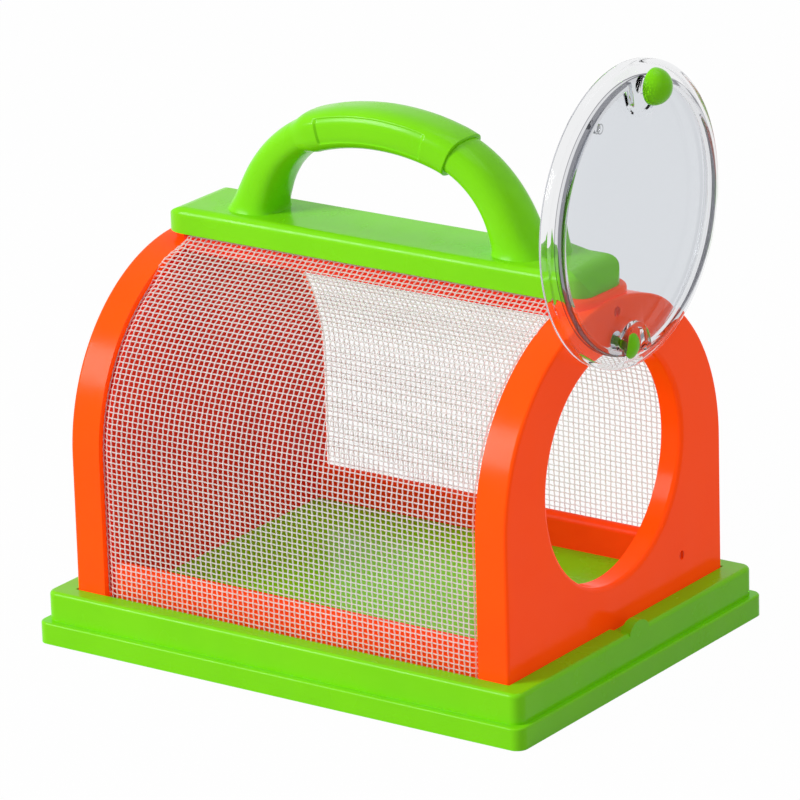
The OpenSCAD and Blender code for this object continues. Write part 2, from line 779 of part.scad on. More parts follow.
module door_disc() {
    knob_z = door_arm + knob_arm;
    color("lightcyan") door_pose() difference() {
        union() {
            x_rod(door_d, disc_x, door_t, 0, door_arm);
            ring_wall(door_d, skirt_w, disc_x - skirt_h, skirt_h + door_t / 2, door_arm);
            difference() {
                ring_wall(ring_d, ring_w, disc_front_x - door_t / 2, door_t / 2 + ring_h, door_arm);
                x_rod(2 * pivot_scallop_r, disc_x, door_t + ring_h + over, 0, 0);
                x_rod(2 * knob_scallop_r, disc_x, door_t + ring_h + over, 0, knob_z);
            }
            intersection() {
                x_rod(ring_d, disc_front_x - door_t / 2, door_t / 2 + ring_h, 0, door_arm);
                union() {
                    ring_wall(2 * pivot_scallop_r + ring_w, ring_w, disc_front_x - door_t / 2,
                              door_t / 2 + ring_h, 0);
                    ring_wall(2 * knob_scallop_r + ring_w, ring_w, disc_front_x - door_t / 2,
                              door_t / 2 + ring_h, knob_z);
                }
            }
            x_rod(pin_boss_d, face_x + rest_gap, door_gap - rest_gap + door_t / 2, 0, 0);
            x_rod(knob_boss_d, disc_x + door_t / 2, door_t / 2 + knob_stand, 0, knob_z);
            x_rod(nub_d, disc_x - nub_len, nub_len + door_t / 2,
                  nub_place[0], door_arm + nub_place[1]);
        }
        x_rod(pin_d + 2 * pin_play, face_x, door_gap + door_t + over, 0, 0);
        x_rod(knob_peg_d + 2 * peg_fit, disc_front_x, knob_stand + over, 0, knob_z);
    }
}

module door_knob() {
    knob_z = door_arm + knob_arm;
    dome_r = ((knob_d / 2) ^ 2 + knob_h ^ 2) / (2 * knob_h);
    color(LIME) door_pose() translate([disc_front_x + knob_stand, 0, knob_z]) rotate([0, 90, 0]) {
        intersection() {
            translate([0, 0, knob_h - dome_r]) sphere(r = dome_r);
            cylinder(d = knob_d, h = knob_h);
        }
        translate([0, 0, -knob_stand]) cylinder(d = knob_peg_d, h = knob_stand + knob_h / 2);
    }
}

module pivot_pin() {
    head_x = disc_front_x + rest_gap;
    crown_r = ((pin_head_d / 2) ^ 2 + pin_head_h ^ 2) / (2 * pin_head_h);
    color(LIME) translate([0, 0, pivot_z]) {
        x_rod(pin_d, face_x - pin_bite, head_x - face_x + pin_bite, 0, 0);
        translate([head_x, 0, 0]) rotate([0, 90, 0]) intersection() {
            translate([0, 0, pin_head_h - crown_r]) sphere(r = crown_r);
            cylinder(d = pin_head_d, h = pin_head_h);
        }
    }
}

base_tray();
front_arch_panel();
rear_arch_panel();
front_clamp_hoop();
rear_lining();
left_sill_rail();
right_sill_rail();
top_spine();
left_net();
right_net();
handle_plate();
handle_bow();
handle_grip();
bow_screws();
plate_screws();
front_panel_screws();
rear_panel_screws();
door_disc();
door_knob();
pivot_pin();
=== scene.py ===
"""Looks of a barrel-roofed mesh insect cage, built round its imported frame."""
import logging
from collections.abc import Iterable, Sequence
from dataclasses import dataclass, field
from enum import Enum
from math import acos, asin, atan2, copysign, cos, degrees, hypot, pi, radians, sin, sqrt, tan

import bmesh
import bpy
import numpy as np
from mathutils import Matrix, Vector


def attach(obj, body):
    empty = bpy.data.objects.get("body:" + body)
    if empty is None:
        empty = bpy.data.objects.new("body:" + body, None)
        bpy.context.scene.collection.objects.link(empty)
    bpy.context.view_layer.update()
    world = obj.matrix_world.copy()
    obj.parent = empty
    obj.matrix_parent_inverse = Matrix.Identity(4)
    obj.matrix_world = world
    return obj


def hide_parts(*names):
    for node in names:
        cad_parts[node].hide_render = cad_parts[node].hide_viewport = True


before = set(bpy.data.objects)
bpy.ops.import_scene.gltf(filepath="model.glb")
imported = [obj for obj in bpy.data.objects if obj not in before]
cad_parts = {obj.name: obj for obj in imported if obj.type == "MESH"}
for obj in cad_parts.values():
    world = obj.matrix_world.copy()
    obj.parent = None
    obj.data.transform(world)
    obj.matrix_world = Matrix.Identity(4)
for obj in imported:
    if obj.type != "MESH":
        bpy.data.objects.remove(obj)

log = logging.getLogger("insect_cage")
MM = 0.001
SIDEWAYS = Vector((0, 1, 0))
MERGE = 0.002  # vertices nearer than this many millimetres are one
OCTAVE = 0.55  # strength of each finer octave of a noise
PIT_SHADE_CORE = 0.8  # share of a pit's radius that is fully dark with painted shade
ROD_SIDES = 64
EDGE_STEPS = 4  # steps of a rod's rounded end
# red light that the orange plastics give off as a painted glow, lightening faces that lie in shade
PAINTED_RED_GLOW = (1.0, 0.03, 0.0, 1.0)
WHITE = (1, 1, 1, 1)
Colour = tuple[float, float, float]
Triple = tuple[float, float, float]
Socket = bpy.types.NodeSocket


class Body(Enum):
    """Bodies of the frame that the own pieces ride on."""

    CAGE = "cage"
    DOOR = "door"


class Side(Enum):
    """The two long sides of the cage, as the sign of Y."""

    LEFT = 1
    RIGHT = -1


# Finishes


class Graph:
    """The node graph of a material or of the world, with short calls to add and join nodes."""

    def __init__(self, owner: bpy.types.Material | bpy.types.World) -> None:
        """Starts an empty graph.

        Args:
            owner: The new material or world that the graph is for.
        """
        owner.use_nodes = True
        self.owner = owner
        self.tree = owner.node_tree
        self.tree.nodes.clear()

    def feed(self, socket: Socket, value: object) -> None:
        """Joins a socket to an input, or sets the input to a value."""
        if isinstance(value, Socket):
            self.tree.links.new(value, socket)
        else:
            socket.default_value = value

    def node(self, kind: str, settings: dict | None = None, **inputs: object) -> bpy.types.Node:
        """Adds a node.

        Args:
            kind: Type of the node, without its ShaderNode prefix.
            settings: Properties to set on the node.
            inputs: Values or sockets for its inputs, with _ for a space in a name.

        Returns:
            The new node.
        """
        made = self.tree.nodes.new("ShaderNode" + kind)
        for key, value in (settings or {}).items():
            setattr(made, key, value)
        for key, value in inputs.items():
            self.feed(made.inputs[key.replace("_", " ")], value)
        return made

    def maths(self, operation: str, *values: float | Socket) -> Socket:
        """Adds a Math node, with values or sockets for its inputs in order, and returns its result."""
        made = self.node("Math", {"operation": operation})
        for socket, value in zip(made.inputs, values):
            self.feed(socket, value)
        return made.outputs[0]

    def place(self) -> Socket:
        """Returns the coordinates fixed to the object, in metres."""
        return self.node("TexCoord").outputs["Object"]

    def noise(self, size: float, detail: float, stretch: Triple = (1, 1, 1)) -> Socket:
        """Adds a noise of a given grain.

        Args:
            size: Size of the grain in millimetres.
            detail: Octaves of finer noise on it.
            stretch: How much the pattern is squeezed along each axis.

        Returns:
            The noise's value, from 0 to 1.
        """
        where = self.node("Mapping", Vector=self.place(), Scale=stretch).outputs["Vector"]
        made = self.node("TexNoise", Vector=where, Scale=1 / (size * MM), Detail=detail, Roughness=OCTAVE)
        return made.outputs[0]

    def span(self, value: Socket, low: float, high: float, start: float = 0.3, end: float = 0.7) -> Socket:
        """Maps a value from start..end to low..high, kept within them."""
        made = self.node("MapRange", {"clamp": True}, Value=value, From_Min=start, From_Max=end,
                         To_Min=low, To_Max=high)
        return made.outputs[0]

    def ramp(self, value: Socket, stops: Sequence[tuple[float, Colour]]) -> Socket:
        """Turns a value into a colour.

        Args:
            value: Value from 0 to 1.
            stops: Places and colours, lowest first.

        Returns:
            The colour socket.
        """
        made = self.node("ValToRGB", Fac=value)
        band = made.color_ramp
        while len(band.elements) < len(stops):
            band.elements.new(0.5)
        for element, (where, colour) in zip(band.elements, stops):
            element.position, element.color = where, (*colour, 1)
        return made.outputs["Color"]

    def relief(self, height: Socket, depth: float, under: Socket | None = None) -> Socket:
        """Adds a bump, over an earlier one if given, and returns its normal."""
        inputs = {"Height": height, "Distance": depth * MM, "Strength": 1.0}
        if under:
            inputs["Normal"] = under
        return self.node("Bump", None, **inputs).outputs["Normal"]

    def away(self, centre: Triple, along: float = 1.0) -> Socket:
        """Returns the distance, in metres, from a point in millimetres, or from its X axis if along is 0."""
        shift = (-centre[0] * MM * along, -centre[1] * MM, -centre[2] * MM)
        where = self.node("Mapping", Vector=self.place(), Location=shift, Scale=(along, 1, 1)).outputs["Vector"]
        return self.node("VectorMath", {"operation": "LENGTH"}, Vector=where).outputs["Value"]

    def scaled(self, colour: Socket, share: Socket) -> Socket:
        """Returns a colour times a share."""
        return self.node("VectorMath", {"operation": "SCALE"}, Vector=colour, Scale=share).outputs["Vector"]

    def paint_pit_shade(self, colour: Socket, pit: tuple[Triple, float], left: float) -> Socket:
        """Paints shade into a colour inside a small pit, where a recess would lie in shade.

        Args:
            colour: The colour to start from.
            pit: The pit's middle and radius in millimetres.
            left: What is left of the colour inside, under the painted shade.

        Returns:
            The new colour.
        """
        return self.scaled(colour, self.span(self.away(pit[0]), left, 1, pit[1] * PIT_SHADE_CORE * MM, pit[1] * MM))

    def outline(self, colour: Socket, centre: Triple, radius: float, width: float, left: float) -> Socket:
        """Paints a thin dark circle of shade into a colour, about an axis along X.

        Args:
            colour: The colour to start from.
            centre: A point of the axis, in millimetres.
            radius: The circle's radius in millimetres.
            width: How far the circle reaches on both sides, in millimetres.
            left: What is left of the colour under the painted shade on the circle.

        Returns:
            The new colour.
        """
        apart = self.maths("ABSOLUTE", self.maths("SUBTRACT", self.away(centre, 0), radius * MM))
        return self.scaled(colour, self.span(apart, left, 1, width / 2 * MM, width * MM))

    def bright_rays(self) -> Socket:
        """Returns 1 for the rays of the camera, of gloss and through clear plastic, and 0 for all others."""
        path = self.node("LightPath")
        direct = self.maths("MAXIMUM", path.outputs["Is Camera Ray"], path.outputs["Is Transmission Ray"])
        return self.maths("MAXIMUM", direct, path.outputs["Is Glossy Ray"])

    def mix(self, share: float | Socket, first: Socket, second: Socket) -> Socket:
        """Mixes two shaders and returns the result."""
        made = self.node("MixShader", None, Fac=share)
        self.tree.links.new(first, made.inputs[1])
        self.tree.links.new(second, made.inputs[2])
        return made.outputs[0]

    def finish(self, surface: Socket, output: str = "OutputMaterial") -> bpy.types.Material | bpy.types.World:
        """Joins a surface to the output and returns the material or world."""
        self.node(output, Surface=surface)
        return self.owner


@dataclass(frozen=True)
class Moulding:
    """Satin-gloss injection moulding: flow patches, rubbed patches, faint sink waves and a fine grain, with an
    optional painted red glow on shaded faces and painted shade in pits.
    """

    name: str
    slot: str
    colour: Colour
    thick: Colour
    gloss: tuple[float, float]
    shine: float
    # strength of a painted red glow, which lightens faces that lie in shade
    painted_glow: float = 0.0
    patch: float = 26.0
    patch_blend: tuple[float, float] = (0.3, 0.6)
    rubbed: float = 14.0
    rubbed_blend: tuple[float, float] = (0.35, 0.65)
    wave: float = 11.0
    wave_depth: float = 0.05
    grain: float = 0.7
    grain_depth: float = 0.002
    pit_shades: tuple[tuple[Triple, float], ...] = ()  # middles and radii of recesses darkened with painted shade
    pit_shade_left: float = 0.35

    def material(self) -> bpy.types.Material:
        """Returns the plastic, in the colours of this moulding."""
        g = Graph(bpy.data.materials.new(self.name))
        colour = g.ramp(g.noise(self.patch, 3), list(zip(self.patch_blend, (self.thick, self.colour))))
        # painted shade inside the recessed marks
        for pit in self.pit_shades:
            colour = g.paint_pit_shade(colour, pit, self.pit_shade_left)
        handled = g.span(g.noise(self.rubbed, 3), *self.gloss, *self.rubbed_blend)
        waves = g.relief(g.noise(self.wave, 1), self.wave_depth)
        grain = g.relief(g.noise(self.grain, 2), self.grain_depth, waves)
        skin = g.node("BsdfPrincipled", None, Base_Color=colour, Roughness=handled, Normal=grain,
                      Specular_IOR_Level=self.shine)
        # painted glow: red emission that lightens the moulding's shaded faces
        if self.painted_glow:
            skin.inputs["Emission Color"].default_value = PAINTED_RED_GLOW
            skin.inputs["Emission Strength"].default_value = self.painted_glow
        return g.finish(skin.outputs["BSDF"])


@dataclass(frozen=True)
class ClearMoulding:
    """Clear polished plastic, greyer inside the ring than at the rim, with painted dark shade lines across the ring,
    at its outer wall and round the nub, and with ripples and rubbing marks.
    """

    name: str
    slot: str
    pane: Colour
    # bead and wall are colours of painted dark shade lines on the ring
    bead: Colour
    wall: Colour
    rim: Colour
    centre: Triple  # the disc's middle
    bead_r: tuple[float, float]
    nub: tuple[Triple, float]  # middle and radius
    margin: float = 1.0  # reach of the tint and painted shade lines on both sides of the ring
    bead_blend: tuple[float, float] = (-0.1, 0.05)  # from the ring's inner edge
    wall_t: float = 0.3
    nub_shade_left: float = 0.25
    gloss: tuple[float, float] = (0.0, 0.05)
    ripple: float = 16.0
    ripple_depth: float = 0.02
    rub: float = 1.4
    rub_stretch: Triple = (1, 1, 5)
    rub_blend: tuple[float, float] = (0.5, 0.8)
    index: float = 1.17

    def material(self) -> bpy.types.Material:
        """Returns the clear plastic."""
        g = Graph(bpy.data.materials.new(self.name))
        low, high = self.bead_r
        wide = high - low
        outward = g.span(g.away(self.centre, 0), 0, 1, (low - self.margin) * MM, (high + self.margin) * MM)
        # the ring's grey and the near-black wall colour are painted shade lines on the clear disc
        rows = ((self.bead_blend[0], self.pane), (self.bead_blend[1], self.bead), (wide - self.wall_t, self.bead),
                (wide - self.wall_t / 2, self.wall), (wide + self.wall_t / 2, self.wall),
                (wide + self.wall_t, self.rim))
        tint_and_shade_lines = g.ramp(outward, [((self.margin + out) / (wide + 2 * self.margin), colour) for out, colour in rows])
        # painted dark ring of shade round the nub
        tint_and_shade_lines = g.outline(tint_and_shade_lines, *self.nub, self.wall_t, self.nub_shade_left)
        rubbed = g.span(g.noise(self.rub, 5, self.rub_stretch), *self.gloss, *self.rub_blend)
        ripples = g.relief(g.noise(self.ripple, 1), self.ripple_depth)
        skin = g.node("BsdfPrincipled", None, Base_Color=tint_and_shade_lines, Roughness=rubbed, Normal=ripples,
                      IOR=self.index, Transmission_Weight=1.0)
        return g.finish(skin.outputs["BSDF"])


@dataclass(frozen=True)
class ScreenYarn:
    """Milky yarn of an insect screen, which scatters some light through and lets some pass."""

    name: str
    slot: str
    colour: Colour
    soiled: Colour
    through: float = 0.25
    clear: float = 0.5
    patch: float = 12.0
    patch_blend: tuple[float, float] = (0.3, 0.55)
    blotch: float = 1.5
    rough: tuple[float, float] = (0.5, 0.7)
    fibre: float = 0.25
    fibre_depth: float = 0.01
    shine: float = 0.2

    def material(self) -> bpy.types.Material:
        """Returns the yarn's coating."""
        g = Graph(bpy.data.materials.new(self.name))
        colour = g.ramp(g.noise(self.patch, 4), list(zip(self.patch_blend, (self.soiled, self.colour))))
        rough = g.span(g.noise(self.blotch, 2), *self.rough)
        fibres = g.relief(g.noise(self.fibre, 2), self.fibre_depth)
        skin = g.node("BsdfPrincipled", None, Base_Color=colour, Roughness=rough, Normal=fibres,
                      Specular_IOR_Level=self.shine)
        core = g.node("BsdfTranslucent", None, Color=colour, Normal=fibres)
        milk = g.mix(self.through, skin.outputs["BSDF"], core.outputs["BSDF"])
        return g.finish(g.mix(self.clear, milk, g.node("BsdfTransparent").outputs["BSDF"]))


@dataclass(frozen=True)
class PlatedSteel:
    """Zinc-plated steel with turning marks."""

    name: str
    slot: str
    colour: Colour
    dull: Colour
    patch: float = 2.0
    patch_blend: tuple[float, float] = (0.35, 0.65)
    rough: tuple[float, float] = (0.25, 0.45)
    mark: float = 0.3
    mark_depth: float = 0.01
    mark_stretch: Triple = (6, 1, 1)

    def material(self) -> bpy.types.Material:
        """Returns the plated steel."""
        g = Graph(bpy.data.materials.new(self.name))
        colour = g.ramp(g.noise(self.patch, 3), list(zip(self.patch_blend, (self.dull, self.colour))))
        rough = g.span(g.noise(self.mark, 3, self.mark_stretch), *self.rough)
        marks = g.relief(g.noise(self.mark, 2, self.mark_stretch), self.mark_depth)
        skin = g.node("BsdfPrincipled", None, Base_Color=colour, Roughness=rough, Normal=marks, Metallic=1.0)
        return g.finish(skin.outputs["BSDF"])


Finish = Moulding | ClearMoulding | ScreenYarn | PlatedSteel

LIME = Moulding("lime_moulding", "lime_plastic", (0.215, 0.72, 0.006), (0.2, 0.69, 0.005), (0.14, 0.3), 0.11)
# orange for the arches, with a strong painted red glow on shaded faces and painted shade in the front arch's two
# recessed marks
ORANGE = Moulding("orange_moulding", "orange_plastic", (0.93, 0.09, 0.004), (0.9, 0.082, 0.004), (0.12, 0.24), 0.06,
                  0.37, pit_shades=(((89.2, 1.7, 127.7), 2.1), ((89.2, 40.5, 30.3), 1.8)))
# a copy of the orange for the frame inside, with a weaker painted red glow
INNER_ORANGE = Moulding("inner_orange_moulding", "orange_plastic", (0.97, 0.07, 0.004), (0.9, 0.06, 0.003),
                        (0.3, 0.45), 0.08, 0.1)
# a darker copy of the orange, without glow, which paints the shade that the lining and spine lie in behind the screen
SHADE_PAINTED_ORANGE = Moulding("shade_painted_orange_moulding", "orange_plastic", (0.95, 0.037, 0.012), (0.82, 0.028, 0.01),
                         (0.35, 0.5), 0.06)
YARN = ScreenYarn("screen_yarn", "white_net", (1.0, 1.0, 1.0), (0.95, 0.95, 0.95))
STEEL = PlatedSteel("plated_steel", "steel", (0.62, 0.62, 0.64), (0.45, 0.45, 0.46))


@dataclass
class Paintbox:
    """Makes each finish once and hands it out."""

    made: dict[str, bpy.types.Material] = field(default_factory=dict)

    def get(self, finish: Finish) -> bpy.types.Material:
        """Returns the material of a finish."""
        if finish.name not in self.made:
            self.made[finish.name] = finish.material()
        return self.made[finish.name]

    def dress(self, names: Iterable[str], finish: Finish) -> None:
        """Gives CAD nodes a finish.

        Args:
            names: The nodes.
            finish: Their finish.
        """
        for name in names:
            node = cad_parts[name]
            node.data.materials.clear()
            node.data.materials.append(self.get(finish))
            log.info("dressed %s with %s", name, finish.name)


# Mesh making


def close_up(bm: bmesh.types.BMesh) -> None:
    """Merges doubled vertices and turns all faces outwards."""
    bmesh.ops.remove_doubles(bm, verts=bm.verts, dist=MERGE * MM)
    bmesh.ops.recalc_face_normals(bm, faces=bm.faces)


def to_mesh(name: str, bm: bmesh.types.BMesh) -> bpy.types.Mesh:
    """Turns a bmesh into a mesh and frees it."""
    mesh = bpy.data.meshes.new(name)
    bm.to_mesh(mesh)
    bm.free()
    return mesh


def add_object(name: str, data: bpy.types.ID) -> bpy.types.Object:
    """Adds an object with this data to the scene."""
    made = bpy.data.objects.new(name, data)
    bpy.context.scene.collection.objects.link(made)
    return made


def make_piece(name: str, bm: bmesh.types.BMesh, body: Body, finish: Finish, paints: Paintbox,
               replaces: Sequence[str], crease: float) -> bpy.types.Object:
    """Turns a bmesh into a piece that rides on a body.

    Args:
        name: Name of the piece.
        bm: Its mesh in metres, in the frame. It is freed here.
        body: Body that it rides on.
        finish: Its finish.
        paints: Where materials come from.
        replaces: CAD nodes that it stands for.
        crease: Edges sharper than this many degrees stay sharp.

    Returns:
        The new object.
    """
    mesh = to_mesh(name, bm)
    piece = add_object(name, mesh)
    mesh.materials.append(paints.get(finish))
    mesh.shade_smooth()
    mesh.set_sharp_from_angle(angle=radians(crease))
    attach(piece, body.value)
    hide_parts(*replaces)
    log.info("made %s, %d faces, on %s", name, len(mesh.polygons), body.value)
    return piece


@dataclass
class Station:
    """One ring of a swept shape, in millimetres."""

    centre: Vector
    across: Vector
    half_t: float
    half_w: float
    power: float


def ring(bm: bmesh.types.BMesh, station: Station, segments: int) -> list[bmesh.types.BMEdge]:
    """Adds a rounded ring across a sweep. Its width lies along Y.

    Args:
        bm: Mesh that takes the ring.
        station: Place, turn, half sizes and squareness.
        segments: Number of sides.

    Returns:
        The ring's edges.
    """
    made = bmesh.ops.create_circle(bm, cap_ends=False, radius=1, segments=segments)["verts"]
    squareness = 2 / station.power
    for v in made:
        c, s = v.co.x, v.co.y
        v.co = Vector((copysign(abs(c) ** squareness, c) * station.half_t,
                       copysign(abs(s) ** squareness, s) * station.half_w, 0))
    along = station.across.cross(SIDEWAYS)
    turn = Matrix((station.across, SIDEWAYS, along)).transposed().to_4x4()
    spot = Matrix.Scale(MM, 4) @ Matrix.Translation(station.centre) @ turn
    bmesh.ops.transform(bm, matrix=spot, verts=made)
    return list({edge for v in made for edge in v.link_edges})


def sweep(bm: bmesh.types.BMesh, stations: Sequence[Station], segments: int, looped: bool = False) -> None:
    """Skins a row of rings.

    Args:
        bm: Mesh that takes the skin.
        stations: The rings, in order.
        segments: Sides of each ring.
        looped: Joins the last ring to the first, else both ends are closed.
    """
    rings = [ring(bm, station, segments) for station in stations]
    for a, b in zip(rings, rings[1:] + rings[:1] if looped else rings[1:]):
        bmesh.ops.bridge_loops(bm, edges=a + b)
    if not looped:
        bmesh.ops.contextual_create(bm, geom=rings[0])
        bmesh.ops.contextual_create(bm, geom=rings[-1])
    bmesh.ops.recalc_face_normals(bm, faces=bm.faces)


def lathe(profile: Sequence[tuple[float, float]], up: float, steps: int) -> bmesh.types.BMesh:
    """Spins a profile about an axis along X.

    Args:
        profile: Points of (place along X, radius) in millimetres, both ends on the axis.
        up: Height of the axis in millimetres.
        steps: Steps of the spin.

    Returns:
        The closed shape.
    """
    bm = bmesh.new()
    points = [bm.verts.new(Vector((x, 0, up + r)) * MM) for x, r in profile]
    edges = [bm.edges.new(pair) for pair in zip(points, points[1:])]
    bmesh.ops.spin(bm, geom=points + edges, cent=(0, 0, up * MM), axis=(1, 0, 0), angle=2 * pi,
                   steps=steps, use_merge=True)
    close_up(bm)
    return bm


def rod(start: float, end: float, radius: float, y: float, z: float, soft: float = 0.0) -> bmesh.types.BMesh:
    """Makes a round rod along X.

    Args:
        start: Where it starts along X, in millimetres, as all sizes here.
        end: Where it ends.
        radius: Its radius.
        y: Place of its axis along Y.
        z: Height of its axis.
        soft: Rounding of both end edges.

    Returns:
        The rod.
    """
    bm = bmesh.new()
    bmesh.ops.create_cone(bm, cap_ends=True, segments=ROD_SIDES, radius1=radius, radius2=radius, depth=end - start)
    if soft:
        rims = [e for e in bm.edges if abs(e.verts[0].co.z - e.verts[1].co.z) < soft]
        bmesh.ops.bevel(bm, geom=rims, offset=soft, offset_type="OFFSET", affect="EDGES", segments=EDGE_STEPS,
                        profile=0.5, material=-1)
    spot = Matrix.Scale(MM, 4) @ Matrix.Translation(((start + end) / 2, y, z)) @ Matrix.Rotation(pi / 2, 4, "Y")
    bmesh.ops.transform(bm, matrix=spot, verts=bm.verts)
    return bm


def carve(stock: bmesh.types.BMesh, tools: Sequence[tuple[str, bmesh.types.BMesh]]) -> bmesh.types.BMesh:
    """Joins shapes to a shape and cuts shapes out of it.

    Args:
        stock: The shape to start from. It is freed here.
        tools: Pairs of UNION or DIFFERENCE and a shape, in order. The shapes are freed here.

    Returns:
        The result.
    """
    scratch = [add_object(name, to_mesh(name, bm)) for name, bm in [("stock", stock), *tools]]
    for (operation, _), tool in zip(tools, scratch[1:]):
        step = scratch[0].modifiers.new(operation, "BOOLEAN")
        step.operation, step.object, step.solver = operation, tool, "EXACT"
    result = bmesh.new()
    result.from_object(scratch[0], bpy.context.evaluated_depsgraph_get())
    for item in scratch:
        mesh = item.data
        bpy.data.objects.remove(item)
        bpy.data.meshes.remove(mesh)
    bmesh.ops.recalc_face_normals(result, faces=result.faces)
    return result


def smooth_step(low: float, high: float, value: float | np.ndarray) -> float | np.ndarray:
    """Returns 0 below low, 1 above high and a smooth rise between."""
    t = np.clip((value - low) / (high - low), 0, 1)
    return t * t * (3 - 2 * t)


def eased(x: float, r: float, ahead: int, out: int, soft: tuple[float, float]) -> list[tuple[float, float]]:
    """Rounds a square corner of a lathe's profile.

    Args:
        x: Place of the corner along X, in millimetres, as all sizes here.
        r: Its radius.
        ahead: 1 or -1, the way along X in which the profile leaves the corner.
        out: 1 or -1, the way along the radius from which it comes.
        soft: Size of the rounding, and how far its middle point lies from both sides.

    Returns:
        The three points of the rounding.
    """
    size, middle = soft
    return [(x, r + out * size), (x + ahead * middle, r + out * middle), (x + ahead * size, r)]


def read_points(mesh: bpy.types.Mesh) -> np.ndarray:
    """Returns a mesh's points as rows of three."""
    points = np.empty(len(mesh.vertices) * 3)
    mesh.vertices.foreach_get("co", points)
    return points.reshape(-1, 3)


# Sub-assemblies


@dataclass
class Tray:
    """The lime base that the cage stands in, shown as built."""

    nodes: tuple[str, ...] = ("base_tray",)

    def build(self, paints: Paintbox) -> None:
        """Dresses the tray."""
        paints.dress(self.nodes, LIME)


@dataclass
class Shell:
    """The orange arches, the frame inside them and all screws, shown as built."""

    arches: tuple[str, ...] = ("front_arch_panel", "rear_arch_panel")
    inner: tuple[str, ...] = ("front_clamp_hoop", "left_sill_rail", "right_sill_rail")
    # parts that take the darker copy of the orange as painted shade
    shade_painted: tuple[str, ...] = ("rear_lining", "top_spine")
    screws: tuple[str, ...] = ("bow_screws", "plate_screws", "front_panel_screws", "rear_panel_screws")

    def build(self, paints: Paintbox) -> None:
        """Dresses the arches, the inner frame, its parts that take a darker copy of the orange as painted shade under
        the screen, and the screws.
        """
        paints.dress(self.arches, ORANGE)
        paints.dress(self.inner, INNER_ORANGE)
        paints.dress(self.shade_painted, SHADE_PAINTED_ORANGE)
        paints.dress(self.screws, STEEL)


